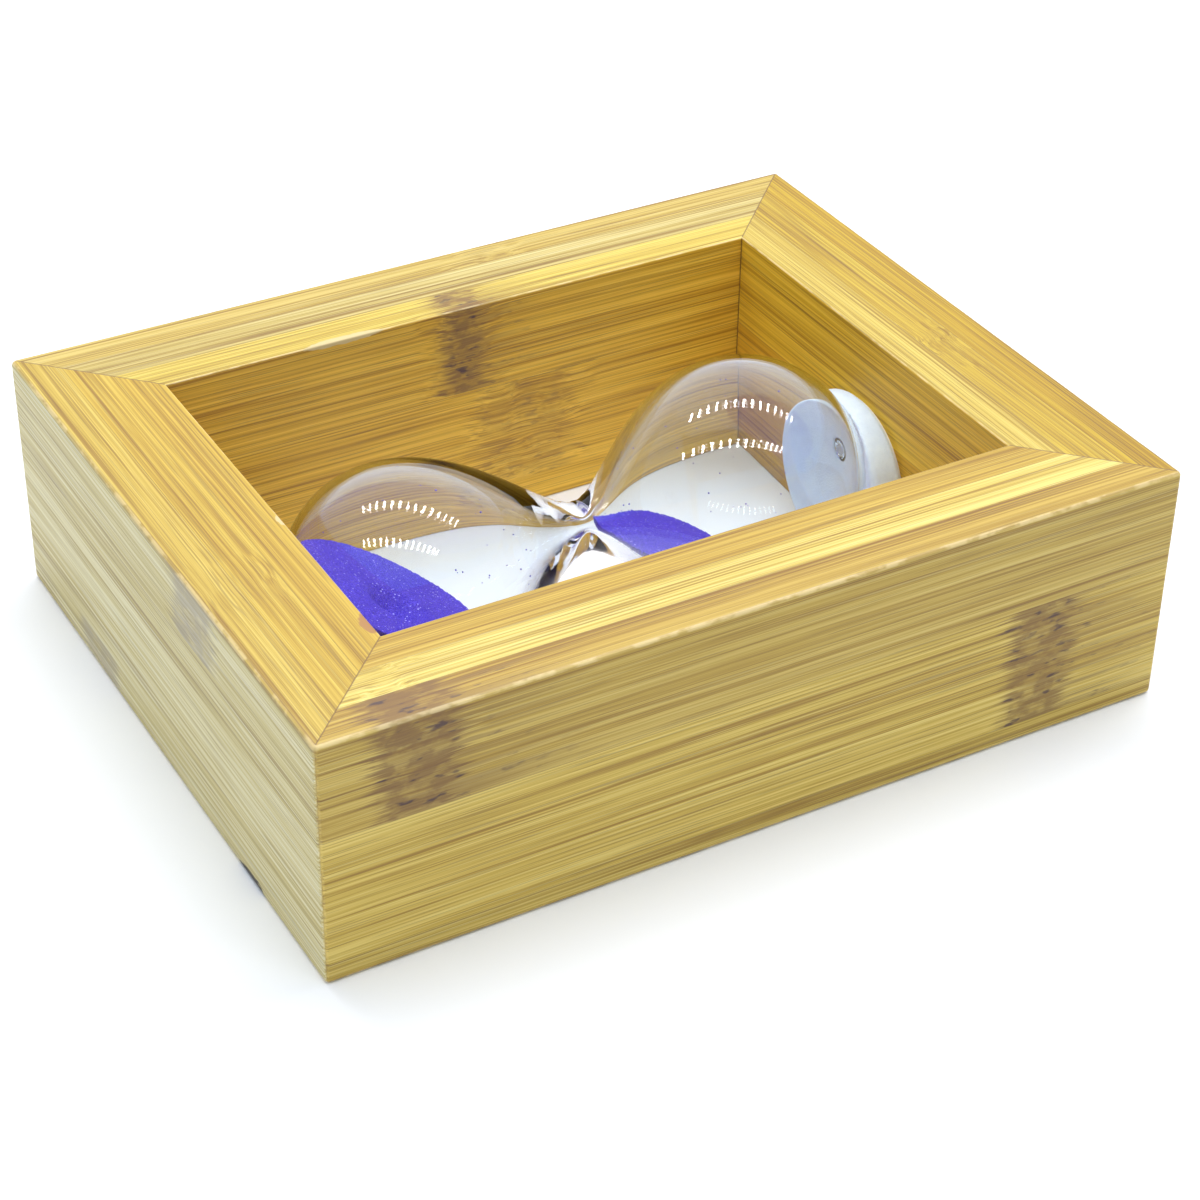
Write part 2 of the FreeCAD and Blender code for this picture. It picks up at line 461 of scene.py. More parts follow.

# For each ply, tint multiplies its colour, strips multiplies the colours of its three strips from
# the bottom up, and face multiplies its broad faces only: painted light and shade, the cast each
# broad face takes from how the light falls on it. seed picks its fibres. smudgeOnly makes its
# marks grey smudges on the broad faces. Chips have a place along, across and up, and a reach in each.
# Node marks: at is the place along the rail, low and high are heights, all in mm.
# dark is how brown the mark is, wavy is how far the fibres swing round it, tail is how far
# the stain trails along the fibres, to the side that its sign says.
plain = (1.0, 1.0, 1.0)
plies = {
    "front_rail_outer_ply": {
        "tint": (0.78, 0.71, 0.38), "seed": 3.1,
        "strips": ((1.06, 1.08, 1.1), (1.13, 1.15, 1.13), (0.96, 0.94, 0.90)),
        "face": (1.10, 1.18, 1.64),
        "marks": (
            {"at": -63.5, "half": 8.0, "low": 27.8, "high": 46.5, "dark": 0.95, "wavy": 0.5, "tail": 36},
            {"at": 53.5, "half": 7.5, "low": 3.8, "high": 27.8, "dark": 0.88, "wavy": 0.4, "tail": 34},
        ),
    },
    "front_rail_core_ply": {
        "tint": (1.03, 1.08, 0.88), "seed": 7.7, "strips": (plain, plain, plain),
        "marks": (
            {"at": -64.0, "half": 3.0, "low": 0, "high": 46.5, "dark": 0.0, "wavy": 2.2, "tail": 1},
        ),
    },
    "front_rail_inner_ply": {
        "tint": (0.79, 0.70, 0.30), "seed": 11.9, "strips": (plain, (0.95, 0.93, 0.9), plain), "marks": (),
    },
    "back_rail_outer_ply": {
        "tint": (0.84, 0.83, 0.66), "seed": 13.3, "strips": (plain, (0.96, 0.96, 0.94), plain),
        "marks": (
            {"at": 12.0, "half": 5.0, "low": 27.8, "high": 46.5, "dark": 0.12, "wavy": 1.5, "tail": 8},
            {"at": -38.0, "half": 6.0, "low": 3.8, "high": 27.8, "dark": 0.6, "wavy": 1.2, "tail": -18},
        ),
    },
    "back_rail_core_ply": {
        "tint": (0.85, 0.91, 1.04), "seed": 17.2, "strips": (plain, plain, plain), "marks": (),
    },
    "back_rail_inner_ply": {
        "tint": (0.97, 0.99, 0.57), "seed": 19.6, "strips": (plain, plain, plain),
        "face": (1.19, 0.97, 0.475),
        "chips": (
            {"place": (-25.0, 43.0, 46.0), "reach": (8.5, 1.1, 0.9), "colour": (0.68, 0.53, 0.24)},
        ),
        "marks": (
            {"at": -1.0, "half": 5.0, "low": 28.3, "high": 46.5, "dark": 1.0, "wavy": 1.0, "tail": 20},
            {"at": 12.0, "half": 11.0, "low": 6.0, "high": 28.0, "dark": 0.30, "wavy": 1.6, "tail": 8},
        ),
    },
    "left_rail_outer_ply": {
        "tint": (0.88, 0.85, 0.48), "seed": 23.5, "strips": (plain, plain, plain),
        "face": (1.12, 1.40, 4.6), "smudgeOnly": True,
        "chips": (
            # this near-black chip is a real break at the bottom edge; its darkness is painted shade in the
            # notch, which has no geometry
            {"place": (-35.5, -80.0, 0.0), "reach": (5.2, 3.0, 2.0), "colour": (0.03, 0.018, 0.012)},
        ),
        "marks": (
            {"at": -18.0, "half": 9.0, "low": 34.0, "high": 46.5, "dark": 0.6, "wavy": 0.5, "tail": 7},
            {"at": 30.0, "half": 9.0, "low": 0.0, "high": 7.0, "dark": 0.5, "wavy": 0.3, "tail": 6},
        ),
    },
    "left_rail_core_ply": {
        "tint": (0.87, 0.80, 0.32), "seed": 29.4, "strips": (plain, plain, plain),
        "marks": (
            {"at": -22.0, "half": 5.0, "low": 0, "high": 46.5, "dark": 0.08, "wavy": 0.7, "tail": 6},
        ),
    },
    "left_rail_inner_ply": {
        "tint": (0.85, 0.76, 0.265), "seed": 31.8, "strips": (plain, plain, plain), "marks": (),
        "chips": (
            {"place": (-6.0, -59.0, 46.0), "reach": (2.0, 0.9, 0.8), "colour": (0.68, 0.53, 0.24)},
            {"place": (-39.5, -59.0, 46.0), "reach": (3.2, 1.6, 1.0), "colour": (0.42, 0.20, 0.05)},
        ),
    },
    "right_rail_outer_ply": {
        "tint": (0.76, 0.66, 0.07), "seed": 37.7, "strips": (plain, plain, plain),
        "marks": (
            {"at": 22.0, "half": 6.0, "low": 3.8, "high": 27.8, "dark": 0.55, "wavy": 1.5, "tail": 14},
        ),
    },
    "right_rail_core_ply": {
        "tint": (0.82, 0.76, 0.20), "seed": 41.3, "strips": (plain, plain, plain),
        "marks": (
            {"at": -9.0, "half": 5.0, "low": 0, "high": 46.5, "dark": 0.10, "wavy": 2.8, "tail": 6},
        ),
    },
    "right_rail_inner_ply": {
        "tint": (0.875, 0.87, 0.53), "seed": 43.9,
        "strips": ((0.8, 0.7, 0.6), (0.86, 0.76, 0.66), plain),
        "face": (1.28, 1.12, 0.42), "marks": (),
    },
}


def inStrip(tree, up, mark):
    # a node mark stops dead at the seams of its own strip
    above = fade(tree, up, mark["low"] - 0.1, mark["low"] + 0.1)
    return maths(tree, "MULTIPLY", above, fade(tree, up, mark["high"] + 0.1, mark["high"] - 0.1))


def markOnPly(tree, mark, along, up, patterns, blotches):
    # how brown one node mark makes the ply, from 0 to 1; its ends are ragged fibre by fibre
    away = maths(tree, "SUBTRACT", along, mark["at"])
    ragged = maths(tree, "ADD", maths(tree, "MULTIPLY", patterns["streaks"], nodeMark["streakRag"]),
                   maths(tree, "MULTIPLY", patterns["fine"], nodeMark["fibreRag"]))
    ragged = maths(tree, "SUBTRACT", ragged, nodeMark["ragMiddle"])
    distance = maths(tree, "ADD", maths(tree, "ABSOLUTE", away), ragged)
    outerEdge, innerEdge = nodeMark["edge"]
    body = fade(tree, distance, mark["half"] + outerEdge, mark["half"] + innerEdge)
    cloud = maths(tree, "MULTIPLY", fade(tree, blotches, *nodeMark["cloudFade"]), 0.5)
    body = maths(tree, "MULTIPLY", body, maths(tree, "ADD", cloud, 0.5))
    side = 1.0 if mark["tail"] > 0 else -1.0
    behind = maths(tree, "MULTIPLY", away, side)
    trail = maths(tree, "MULTIPLY", fade(tree, behind, abs(mark["tail"]), 0.0),
                  fade(tree, behind, nodeMark["tailReach"], 0.0))
    trail = maths(tree, "MULTIPLY", trail, fade(tree, patterns["streaks"], *nodeMark["tailFade"]))
    both = maths(tree, "MAXIMUM", body, maths(tree, "MULTIPLY", trail, nodeMark["tailShare"]))
    both = maths(tree, "MULTIPLY", both, inStrip(tree, up, mark))
    return maths(tree, "MULTIPLY", both, mark["dark"])


def chipOnPly(tree, chip, position, blotches):
    # a small spot where the lacquered edge has broken off, 1 inside it
    total = maths(tree, "MULTIPLY", maths(tree, "SUBTRACT", blotches, 0.5), chipEdge["ragged"])
    for value, place, reach in zip(position, chip["place"], chip["reach"]):
        share = maths(tree, "DIVIDE", maths(tree, "SUBTRACT", value, place), reach)
        total = maths(tree, "ADD", total, maths(tree, "POWER", maths(tree, "ABSOLUTE", share), 2.0))
    return fade(tree, total, *chipEdge["fade"])


def hairline(tree, value, at, width):
    return fade(tree, maths(tree, "ABSOLUTE", maths(tree, "SUBTRACT", value, at)), width, 0.0)


def fibreSpaces(tree, ply, seams, along, across, up):
    # the ply's own millimetres, and the fibres' space, which swings round each node mark
    swing = nodeMark["restSwing"]
    for mark in ply["marks"]:
        away = maths(tree, "ABSOLUTE", maths(tree, "SUBTRACT", along, mark["at"]))
        far, close = mark["half"] + nodeMark["swingBeyond"], mark["half"] * nodeMark["swingWithin"]
        near = fade(tree, away, far, close)
        near = maths(tree, "MULTIPLY", near, inStrip(tree, up, mark))
        swing = maths(tree, "MAXIMUM", maths(tree, "MULTIPLY", near, mark["wavy"]), swing)
    straight = tree.nodes.new("ShaderNodeCombineXYZ")
    for socket, value in zip(straight.inputs, (along, across, up)):
        feed(tree, socket, value)
    straight = straight.outputs[0]
    waves = noise(tree, spread(tree, straight, nodeMark["swingScale"]), 1.0, 1.0)
    shift = maths(tree, "MULTIPLY", maths(tree, "SUBTRACT", waves, 0.5),
                  maths(tree, "MULTIPLY", swing, nodeMark["swingHeight"]))
    # each strip of the ply comes from another cane, so its fibres differ
    canes = maths(tree, "ADD", maths(tree, "GREATER_THAN", up, seams[0]),
                  maths(tree, "GREATER_THAN", up, seams[1]))
    start = maths(tree, "ADD", maths(tree, "MULTIPLY", canes, bamboo["caneStep"]), ply["seed"])
    grain = tree.nodes.new("ShaderNodeCombineXYZ")
    stretched = maths(tree, "MULTIPLY", along, bamboo["fibreStretch"])
    feed(tree, grain.inputs[0], maths(tree, "ADD", stretched, start))
    feed(tree, grain.inputs[1], maths(tree, "ADD", across, shift))
    feed(tree, grain.inputs[2], maths(tree, "ADD", up, shift))
    return straight, grain.outputs[0]


def glueLines(tree, node, seams, across, up, acrossAxis):
    # thin dark lines between the strips and between the plies
    lines = 0.0
    for seam in seams:
        lines = maths(tree, "MAXIMUM", lines, hairline(tree, up, seam, bamboo["seamWidth"]))
    low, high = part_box(node)
    rail = [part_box(node.split("_rail_")[0] + "_rail_" + part) for part in ("outer_ply", "inner_ply")]
    free = [corner[acrossAxis] for box in rail for corner in box]
    for edge in (low[acrossAxis], high[acrossAxis]):
        if min(free) + 0.1 * mm < edge < max(free) - 0.1 * mm:
            line = hairline(tree, across, edge / mm, bamboo["plyLineWidth"])
            lines = maths(tree, "MAXIMUM", lines, line)
    return lines


def roundedEdges(tree, surface):
    # 1 where the surface turns over an edge, from the sum of its normal's fourth powers
    squares = tree.nodes.new("ShaderNodeVectorMath")
    squares.operation = "MULTIPLY"
    fourths = tree.nodes.new("ShaderNodeVectorMath")
    fourths.operation = "DOT_PRODUCT"
    for socket in squares.inputs[:2]:
        tree.links.new(surface, socket)
    for socket in fourths.inputs[:2]:
        tree.links.new(squares.outputs[0], socket)
    return fade(tree, fourths.outputs["Value"], *bamboo["wearAndHighlightFade"])


def fibreColours(tree, patterns):
    tone = 0.0
    for name, share in bamboo["toneShares"].items():
        tone = maths(tree, "ADD", tone, maths(tree, "MULTIPLY", patterns[name], share))
    stops = zip(bamboo["toneStops"], (bamboo["dark"], bamboo["middle"], bamboo["light"]))
    colour = colours(tree, tone, list(stops))
    pale = maths(tree, "MULTIPLY", fade(tree, patterns["threads"], *bamboo["threadFade"]),
                 bamboo["threadShare"])
    return blendColours(tree, pale, colour, bamboo["thread"])


def bambooMaterial(node, ply):
    mat, shader = newMaterial("bamboo_" + node)
    tree = mat.node_tree
    place = tree.nodes.new("ShaderNodeSeparateXYZ")
    tree.links.new(objectPlace(tree), place.inputs[0])
    onLongRail = node.startswith(("front", "back"))
    along, across, up = (place.outputs[i] for i in ((0, 1, 2) if onLongRail else (1, 0, 2)))
    acrossAxis = 1 if onLongRail else 0
    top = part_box(node)[1].z
    seams = bamboo["coreSeams"] if "core" in node else bamboo["faceSeams"]
    surface = tree.nodes.new("ShaderNodeTexCoord").outputs["Normal"]
    normal = tree.nodes.new("ShaderNodeSeparateXYZ")
    tree.links.new(surface, normal.inputs[0])
    onFace = fade(tree, maths(tree, "ABSOLUTE", normal.outputs[acrossAxis]), *bamboo["onFace"])
    onLevel = fade(tree, maths(tree, "ABSOLUTE", normal.outputs[2]), *bamboo["onLevel"])

    straight, grain = fibreSpaces(tree, ply, seams, along, across, up)
    patterns = {}
    for name, (squeeze, scale, detail, roughness) in fibrePatterns.items():
        patterns[name] = noise(tree, spread(tree, grain, (squeeze, 1.0, 1.0)), scale, detail, roughness)
    blotches = noise(tree, spread(tree, straight, bamboo["blotchScale"]), 1.0, 3.0, 0.55)

    colour = blendColours(tree, 1.0, fibreColours(tree, patterns), ply["tint"], "MULTIPLY")
    heights = (0.0, seams[0] * mm / top, seams[1] * mm / top)
    share = maths(tree, "DIVIDE", up, top / mm)
    strips = colours(tree, share, list(zip(heights, ply["strips"])), "CONSTANT")
    colour = blendColours(tree, 1.0, colour, strips, "MULTIPLY")
    # painted light and shade: the broad faces get a tint of their own, apart from the ply's edges, for the
    # light that falls on each face
    if "face" in ply:
        broad = blendColours(tree, 1.0, colour, ply["face"], "MULTIPLY")
        colour = blendColours(tree, onFace, colour, broad)
    vessels = fade(tree, patterns["vessels"], *bamboo["vesselFade"])
    dark = maths(tree, "MULTIPLY", vessels, bamboo["vesselShare"])
    colour = blendColours(tree, dark, colour, bamboo["line"])

    # node marks, with pits in them
    stain = 0.0
    for mark in ply["marks"]:
        if mark["dark"] > 0:
            stain = maths(tree, "MAXIMUM", markOnPly(tree, mark, along, up, patterns, blotches), stain)
    pits = 0.0
    if ply.get("smudgeOnly"):
        stain = maths(tree, "MULTIPLY", stain, onFace)
        colour = blendColours(tree, stain, colour, bamboo["smudge"])
    elif ply["marks"]:
        pitNoise = noise(tree, spread(tree, straight, nodeMark["pitScale"]), 1.0, 2.0)
        pits = maths(tree, "MULTIPLY", fade(tree, pitNoise, *nodeMark["pitFade"]), stain)
        brown = maths(tree, "MULTIPLY", stain, bamboo["brownShare"])
        colour = blendColours(tree, brown, colour, bamboo["brown"])
        colour = blendColours(tree, pits, colour, bamboo["core"])

    # glue lines, mitres and pale rounded edges, which are real wear and painted highlight together; a pale
    # edge also hides its mitre line
    lines = glueLines(tree, node, seams, across, up, acrossAxis)
    rounded = roundedEdges(tree, surface)
    diagonal = maths(tree, "SUBTRACT", maths(tree, "ABSOLUTE", place.outputs[0]),
                     maths(tree, "ABSOLUTE", place.outputs[1]))
    unwornUnlit = maths(tree, "SUBTRACT", 1.0, maths(tree, "MULTIPLY", rounded, bamboo["wearAndHighlightOverMitre"]))
    joint = hairline(tree, diagonal, bamboo["mitreOffset"], bamboo["mitreWidth"])
    joint = maths(tree, "MULTIPLY", joint, unwornUnlit)
    onEdge = maths(tree, "MULTIPLY", onLevel, bamboo["wearAndHighlightLevel"])
    onEdge = maths(tree, "ADD", onEdge, 1 - bamboo["wearAndHighlightLevel"])
    patchy = maths(tree, "MULTIPLY", fade(tree, blotches, *bamboo["wearAndHighlightPatches"]), bamboo["wearAndHighlightGain"])
    # painted highlight and real wear together: the rounded edges are lightened, most of all those along the
    # top and bottom faces
    wearAndHighlight = maths(tree, "MULTIPLY", rounded, onEdge)
    wearAndHighlight = maths(tree, "MULTIPLY", wearAndHighlight, maths(tree, "ADD", patchy, bamboo["wearAndHighlightLeast"]))
    colour = blendColours(tree, maths(tree, "MULTIPLY", lines, bamboo["lineShare"]), colour, bamboo["line"])
    colour = blendColours(tree, maths(tree, "MULTIPLY", joint, bamboo["mitreShare"]), colour, bamboo["line"])
    colour = blendColours(tree, wearAndHighlight, colour, bamboo["wearAndHighlight"])
    for chip in ply.get("chips", ()):
        broken = chipOnPly(tree, chip, (along, across, up), blotches)
        colour = blendColours(tree, broken, colour, chip["colour"])
    tree.links.new(colour, shader.inputs["Base Color"])

    # a satin lacquer, drier on the marks
    rough = maths(tree, "ADD", maths(tree, "MULTIPLY", patterns["fine"], bamboo["fibreRough"]),
                  bamboo["roughness"])
    rough = maths(tree, "ADD", rough, maths(tree, "MULTIPLY", stain, bamboo["stainRough"]))
    tree.links.new(rough, shader.inputs["Roughness"])
    height = maths(tree, "MULTIPLY", patterns["fine"], bamboo["fibreHeight"])
    grooves = maths(tree, "MAXIMUM", joint, lines)
    dents = ((vessels, bamboo["vesselDepth"]), (pits, bamboo["pitDepth"]), (grooves, bamboo["lineDepth"]))
    for dent, depth in dents:
        height = maths(tree, "SUBTRACT", height, maths(tree, "MULTIPLY", dent, depth))
    bump(tree, shader, height, bamboo["bumpStrength"], bamboo["fibreBump"])
    return mat


def dressNode(node, mat):
    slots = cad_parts[node].material_slots
    if len(slots) == 0:
        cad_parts[node].data.materials.append(mat)
    for slot in slots:
        slot.material = mat


for node, ply in plies.items():
    dressNode(node, bambooMaterial(node, ply))
print("bamboo on", len(plies), "plies")


# corner dowels and tape, which the rails and pads hide

dowels = {
    "dark": (0.55, 0.36, 0.19),
    "light": (0.78, 0.58, 0.36),
    "fleck": (0.40, 0.24, 0.12),
    "roughness": 0.6,
    "grainBump": 0.04 * mm,
}

tape = {
    "dark": (0.80, 0.80, 0.77),
    "light": (0.90, 0.90, 0.88),
    "mottle": 0.9,
    "roughness": 0.5,
    "filmBump": 0.05 * mm,
}


def dowelWood():
    mat, shader = newMaterial("dowelBeech")
    tree = mat.node_tree
    place = objectPlace(tree)
    rings = noise(tree, spread(tree, place, (0.2, 0.2, 1.0)), 2.4, 3.0, 0.6)
    flecks = noise(tree, spread(tree, place, (0.5, 0.5, 2.0)), 3.0, 2.0)
    colour = colours(tree, rings, [(0.3, dowels["dark"]), (0.7, dowels["light"])])
    colour = blendColours(tree, fade(tree, flecks, 0.62, 0.7), colour, dowels["fleck"])
    tree.links.new(colour, shader.inputs["Base Color"])
    shader.inputs["Roughness"].default_value = dowels["roughness"]
    bump(tree, shader, rings, 0.4, dowels["grainBump"])
    return mat


def tapeFilm():
    mat, shader = newMaterial("tapeFilm")
    tree = mat.node_tree
    mottle = noise(tree, objectPlace(tree), tape["mottle"], 3.0)
    colour = colours(tree, mottle, [(0.35, tape["dark"]), (0.7, tape["light"])])
    tree.links.new(colour, shader.inputs["Base Color"])
    shader.inputs["Roughness"].default_value = tape["roughness"]
    bump(tree, shader, mottle, 0.3, tape["filmBump"])
    return mat


finishes = {"_dowels": dowelWood(), "_tape_disc": tapeFilm()}
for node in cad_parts:
    for ending, mat in finishes.items():
        if node.endswith(ending):
            dressNode(node, mat)
print("dowels and tape done")


# glass vessel

glassLow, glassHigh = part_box("glass_vessel")
vessel = {
    "axis": (glassLow.z + glassHigh.z) / 2,
    "length": -glassLow.x,
    "rightRadius": (glassHigh.z - glassLow.z) / 2,
    "leftRadius": (glassHigh.z - glassLow.z) / 2 - 1.8 * mm,  # the left bulb is a little smaller
    "wall": 1.2 * mm,
    "neck": 4.7 * mm,
    "orifice": 0.9 * mm,
    "neckPull": 0.2,
    "bellyPull": 0.48,
    "stemRadius": 1.7 * mm,
    "stemEnd": glassHigh.x,
    "rippleDepth": 0.16 * mm,
    "rippleStep": 2.3 * mm,
    "rippleReach": 6.5 * mm,
    "outlineSteps": 26,  # on each flank and on each dome
    "stemSteps": 8,
    "roundSteps": 128,
    "colour": (0.905, 0.957, 0.995),
    "refraction": 1.50,
}


def bulbOutline(length, radius, neck, side, endRadius=0.0):
    # from the neck over the belly to the pole, as (x, radius)
    belly = length - radius
    pulls = ((0.0, neck), (vessel["neckPull"] * belly, neck), ((1 - vessel["bellyPull"]) * belly, radius),
             (belly, radius))
    points = []
    steps = vessel["outlineSteps"]
    for i in range(steps):
        t = i / steps
        weights = ((1 - t) ** 3, 3 * t * (1 - t) ** 2, 3 * t * t * (1 - t), t ** 3)
        points.append(tuple(sum(w * p[k] for w, p in zip(weights, pulls)) for k in (0, 1)))
    last = math.degrees(math.asin(endRadius / radius))
    points += arcPoints((belly, 0.0), radius, 90.0, last, steps)
    return [(side * x, r) for x, r in points]


def roomOutline(gap, neck):
    # the hollow inside the glass, gap away from its outside
    length = vessel["length"] - gap
    left = bulbOutline(length, vessel["leftRadius"] - gap, neck, -1)
    right = bulbOutline(length, vessel["rightRadius"] - gap, neck, 1)
    return left[::-1] + right[1:]


def rippled(outline):
    # the worked neck has faint rings left by the tools
    result = []
    for x, r in outline:
        fall = math.exp(-(x / vessel["rippleReach"]) ** 2)
        wave = math.cos(2 * math.pi * x / vessel["rippleStep"]) * 0.5 - 0.5
        result.append((x, r + vessel["rippleDepth"] * fall * wave))
    return result


def clearGlass():
    mat, shader = newMaterial("clearGlass")
    shader.inputs["Base Color"].default_value = (*vessel["colour"], 1.0)
    shader.inputs["Roughness"].default_value = 0.0
    shader.inputs["IOR"].default_value = vessel["refraction"]
    shader.inputs["Transmission Weight"].default_value = 1.0
    return mat


def makeVessel():
    left = bulbOutline(vessel["length"], vessel["leftRadius"], vessel["neck"], -1)
    right = bulbOutline(vessel["length"], vessel["rightRadius"], vessel["neck"], 1, vessel["stemRadius"])
    tip = (vessel["stemEnd"] - vessel["stemRadius"], 0.0)
    stem = arcPoints(tip, vessel["stemRadius"], 90.0, 0.0, vessel["stemSteps"])
    stem[-1] = (vessel["stemEnd"], 0.0)
    outside = rippled(left[::-1] + right[1:]) + stem
    skin = spinOutline("glass_bulbs", outside, vessel["axis"], vessel["roundSteps"])
    hollow = roomOutline(vessel["wall"], vessel["orifice"])
    room = spinOutline("glass_room", hollow, vessel["axis"], vessel["roundSteps"], inside=True)
    deselectAll()
    room.select_set(True)
    skin.select_set(True)
    bpy.context.view_layer.objects.active = skin
    bpy.ops.object.join()
    skin.data.materials.clear()
    skin.data.materials.append(clearGlass())
    # thin clear glass hardly darkens what lies below it, so light passes it straight
    skin.visible_shadow = False
    skin.visible_diffuse = False
    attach(skin, "root")
    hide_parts("glass_vessel")


makeVessel()
print("glass made")


# sand

sand = {
    "gap": 0.12 * mm,
    "slope": 32.0,  # how steep it lies, in degrees
    "leftCrossing": -41.6 * mm,
    "rightCrossing": 3.7 * mm,
    "neckEnd": 2.5 * mm,
    "grain": 0.36 * mm,
    "rough": 0.22 * mm,
    "lumpSize": 0.7 * mm,
    "dimplePlace": (-36.0 * mm, -3.0 * mm),
    "dimpleTop": 1.2 * mm,
    "dimpleLean": 0.5,
    "dimpleDepth": 3.0 * mm,
    "dimpleReach": 6.0 * mm,
    "cellScale": 5.2,
    "dark": (0.022, 0.010, 0.30),
    "middle": (0.048, 0.024, 0.50),
    "light": (0.11, 0.07, 0.72),
    "shade": (0.034, 0.014, 0.42),
    "glint": (0.52, 0.48, 0.95),
    "glintAbove": 0.988,
    "roughness": 0.75,
    "glintPolish": 0.5,
    "specular": 0.25,
    "grainBump": 0.09 * mm,
}

looseGrains = {
    "count": 170,
    "seed": 41,
    "reach": (6.0, 50.0),  # from the neck, mm
    "spread": 1.1,
    "size": (0.09, 0.20),  # radius, mm
    "offGlass": 1.05,
}


def sandMaterial():
    mat, shader = newMaterial("violetSand")
    tree = mat.node_tree
    place = objectPlace(tree)
    grains = cells(tree, place, sand["cellScale"])
    patches = noise(tree, place, 0.22, 2.0)
    pick = tree.nodes.new("ShaderNodeSeparateColor")
    tree.links.new(grains.outputs["Color"], pick.inputs[0])
    stops = ((0.0, sand["dark"]), (0.6, sand["middle"]), (1.0, sand["light"]))
    colour = colours(tree, pick.outputs[0], stops)
    shade = maths(tree, "MULTIPLY", fade(tree, patches, 0.3, 0.7), 0.5)
    colour = blendColours(tree, shade, colour, sand["shade"])
    glints = maths(tree, "GREATER_THAN", pick.outputs[1], sand["glintAbove"])
    colour = blendColours(tree, glints, colour, sand["glint"])
    tree.links.new(colour, shader.inputs["Base Color"])
    shader.inputs["Specular IOR Level"].default_value = sand["specular"]
    polish = maths(tree, "MULTIPLY", glints, sand["glintPolish"])
    tree.links.new(maths(tree, "SUBTRACT", sand["roughness"], polish), shader.inputs["Roughness"])
    bump(tree, shader, grains.outputs["Distance"], 0.6, sand["grainBump"])
    return mat


def makeBank(name, crossing, side):
    # fills the glass, then is cut off along the slope and at the neck
    room = roomOutline(vessel["wall"] + sand["gap"], vessel["orifice"] - sand["gap"])
    bank = spinOutline(name, room, vessel["axis"], roundSteps)
    slope = math.radians(sand["slope"])
    cuts = (((crossing, 0, vessel["axis"]), (math.sin(slope), 0, math.cos(slope))),
            ((side * sand["neckEnd"], 0, 0), (-side, 0, 0)))
    bpy.ops.object.mode_set(mode="EDIT")
    for point, normal in cuts:
        bpy.ops.mesh.select_all(action="SELECT")
        bpy.ops.mesh.bisect(plane_co=point, plane_no=normal, use_fill=True, clear_outer=True)
    bpy.ops.object.mode_set(mode="OBJECT")
    addModifier(bank, "REMESH", mode="VOXEL", voxel_size=sand["grain"], use_smooth_shade=True)
    lumps = bpy.data.textures.new(name + "Lumps", "CLOUDS")
    lumps.noise_scale = sand["lumpSize"]
    lumps.noise_depth = 3
    addModifier(bank, "DISPLACE", texture=lumps, strength=sand["rough"], mid_level=1.0,
                texture_coords="LOCAL")
    return bank


def pressDimple(bank):
    # presses a shallow dish into the slope
    activate(bank)
    x, y = sand["dimplePlace"]
    depth = sand["dimpleDepth"]
    top = max((v.co for v in bank.data.vertices if abs(v.co.x - x) < mm and abs(v.co.y - y) < mm),
              key=lambda co: co.z)
    for v in bank.data.vertices:
        v.select = (v.co - top).length < sand["dimpleTop"]
    bpy.ops.object.mode_set(mode="EDIT")
    bpy.ops.transform.translate(value=(-depth * sand["dimpleLean"], 0, -depth), use_proportional_edit=True,
                                proportional_edit_falloff="SMOOTH", proportional_size=sand["dimpleReach"])
    bpy.ops.object.mode_set(mode="OBJECT")


def roomRadius(x):
    # inner wall of the glass at x
    points = roomOutline(vessel["wall"], vessel["orifice"])
    for here, there in zip(points, points[1:]):
        if here[0] <= x <= there[0] and there[0] > here[0]:
            return here[1] + (there[1] - here[1]) * (x - here[0]) / (there[0] - here[0])
    return 0.0


def makeLooseGrains(mat):
    # grains that cling to the inside of the glass, past the edges of the banks
    deselectAll()
    dice = random.Random(looseGrains["seed"])
    grains = []
    for _ in range(looseGrains["count"]):
        bulb = dice.choice((-1, 1))
        x = bulb * dice.uniform(*looseGrains["reach"]) * mm
        turn = dice.gauss(0.0, looseGrains["spread"])
        size = dice.uniform(*looseGrains["size"]) * mm
        radius = roomRadius(x) - size * looseGrains["offGlass"]
        place = (x, radius * math.sin(turn), vessel["axis"] - radius * math.cos(turn))
        bpy.ops.mesh.primitive_ico_sphere_add(subdivisions=1, radius=size, location=place)
        grain = bpy.context.object
        bpy.ops.object.mode_set(mode="EDIT")
        bpy.ops.transform.resize(value=(1.0, dice.uniform(0.7, 1.3), dice.uniform(0.7, 1.0)))
        bpy.ops.object.mode_set(mode="OBJECT")
        grains.append(grain)
    deselectAll()
    for grain in grains:
        grain.select_set(True)
    bpy.context.view_layer.objects.active = grains[0]
    bpy.ops.object.join()
    loose = bpy.context.object
    loose.name = loose.data.name = "loose_grains"
    settle(loose)
    loose.data.materials.append(mat)
    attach(loose, "root")


violet = sandMaterial()
banks = (("left_sand_bank", "left_bulb_sand", sand["leftCrossing"], -1),
         ("right_sand_bank", "right_bulb_sand", sand["rightCrossing"], 1))
for name, node, crossing, side in banks:
    bank = makeBank(name, crossing, side)
    if side < 0:
        pressDimple(bank)
    bank.data.materials.clear()
    bank.data.materials.append(violet)
    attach(bank, "root")
    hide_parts(node)
makeLooseGrains(violet)
print("sand poured")


# cushion pads

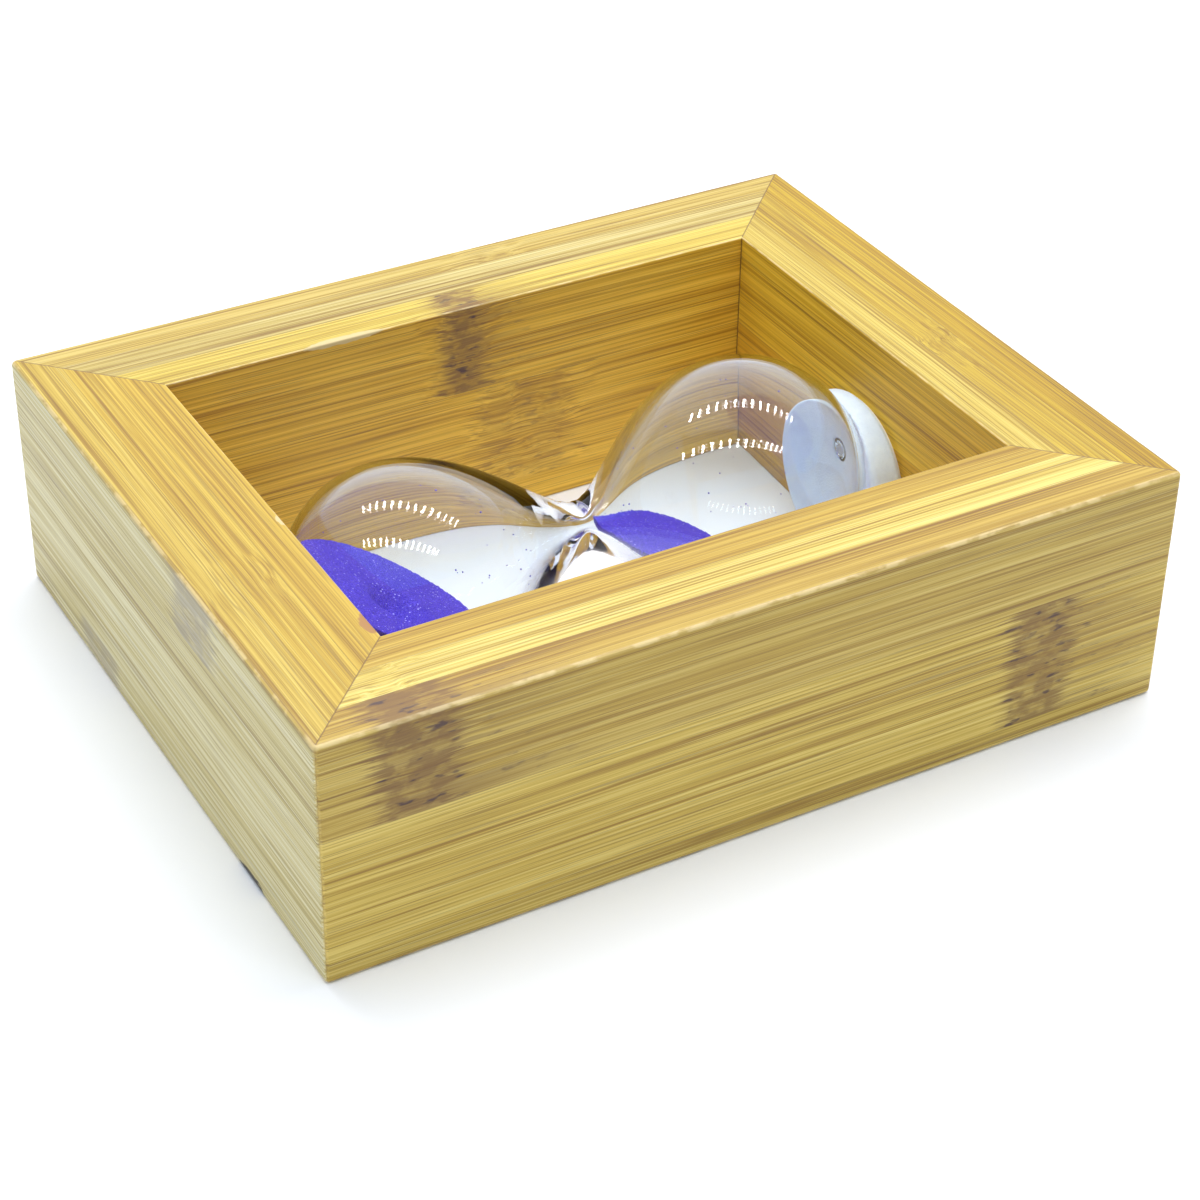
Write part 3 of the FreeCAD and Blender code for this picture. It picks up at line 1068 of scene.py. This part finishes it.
pad = {
    "toGlass": 0.2 * mm,
    "crown": 0.35 * mm,
    "rimRound": 1.3 * mm,
    "backRound": 0.5 * mm,
    "stemHole": 2.3 * mm,
    "foamSize": 0.42 * mm,
    "crownMiddle": 0.3,  # share of the crown reached at half the radius
    "rimSteps": 8,
    "backSteps": 5,
    "ballSegments": 96,
    "ballRings": 64,
    "stemSides": 40,
    "stemDepth": 20 * mm,
    "smoothing": 3,
    "dark": (0.70, 0.81, 0.93),
    "light": (0.77, 0.88, 0.98),
    "poreShade": (0.62, 0.68, 0.76),
    "poreScale": 2.6,
    "roughness": 0.8,
    "softness": 0.25,
    "softReach": (0.002, 0.002, 0.002),
    "foamBump": 0.10 * mm,
}


def foamMaterial():
    mat, shader = newMaterial("whiteFoam")
    tree = mat.node_tree
    place = objectPlace(tree)
    pores = cells(tree, place, pad["poreScale"])
    soft = noise(tree, place, 0.5, 3.0)
    colour = colours(tree, soft, [(0.3, pad["dark"]), (0.7, pad["light"])])
    # painted shade: the pores are darkened for the shade that falls into them
    colour = blendColours(tree, fade(tree, pores.outputs["Distance"], 0.18, 0.02), colour, pad["poreShade"])
    tree.links.new(colour, shader.inputs["Base Color"])
    shader.inputs["Roughness"].default_value = pad["roughness"]
    shader.inputs["Subsurface Weight"].default_value = pad["softness"]
    shader.inputs["Subsurface Radius"].default_value = pad["softReach"]
    bump(tree, shader, maths(tree, "ADD", pores.outputs["Distance"], soft), 0.5, pad["foamBump"])
    return mat


def makePad(name, node, side, mat):
    low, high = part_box(node)
    wallX, faceX = (high.x, low.x) if side > 0 else (-low.x, -high.x)
    radius, middle = (high.z - low.z) / 2, (high.z + low.z) / 2
    rim, back = pad["rimRound"], pad["backRound"]
    outline = [(faceX, 0.0), (faceX + pad["crown"] * pad["crownMiddle"], radius * 0.5)]
    outline += arcPoints((faceX + pad["crown"] + rim, radius - rim), rim, 180.0, 90.0, pad["rimSteps"])
    outline += arcPoints((wallX - back, radius - back), back, 90.0, 0.0, pad["backSteps"])
    outline.append((wallX, 0.0))
    piece = spinOutline(name, [(side * x, r) for x, r in outline], middle, roundSteps)
    # the bulb's end and the sealed stem press their own shapes into the foam
    bulb = vessel["rightRadius"] if side > 0 else vessel["leftRadius"]
    centre = (side * (vessel["length"] - bulb), 0, vessel["axis"])
    deselectAll()
    bpy.ops.mesh.primitive_uv_sphere_add(segments=pad["ballSegments"], ring_count=pad["ballRings"],
                                         radius=bulb + pad["toGlass"], location=centre)
    cutters = [bpy.context.object]
    if side > 0:
        bpy.ops.mesh.primitive_cylinder_add(vertices=pad["stemSides"], radius=pad["stemHole"],
                                            depth=pad["stemDepth"], location=(wallX, 0, vessel["axis"]),
                                            rotation=(0, math.pi / 2, 0))
        cutters.append(bpy.context.object)
    for cutter in cutters:
        addModifier(piece, "BOOLEAN", operation="DIFFERENCE", solver="EXACT", object=cutter)
        bpy.data.objects.remove(cutter)
    addModifier(piece, "REMESH", mode="VOXEL", voxel_size=pad["foamSize"], use_smooth_shade=True)
    addModifier(piece, "SMOOTH", factor=0.5, iterations=pad["smoothing"])
    piece.data.materials.clear()
    piece.data.materials.append(mat)
    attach(piece, "root")
    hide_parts(node)


foam = foamMaterial()
makePad("left_foam_pad", "left_end_pad", -1, foam)
makePad("right_foam_pad", "right_end_pad", 1, foam)
print("pads made")


print("scene built")
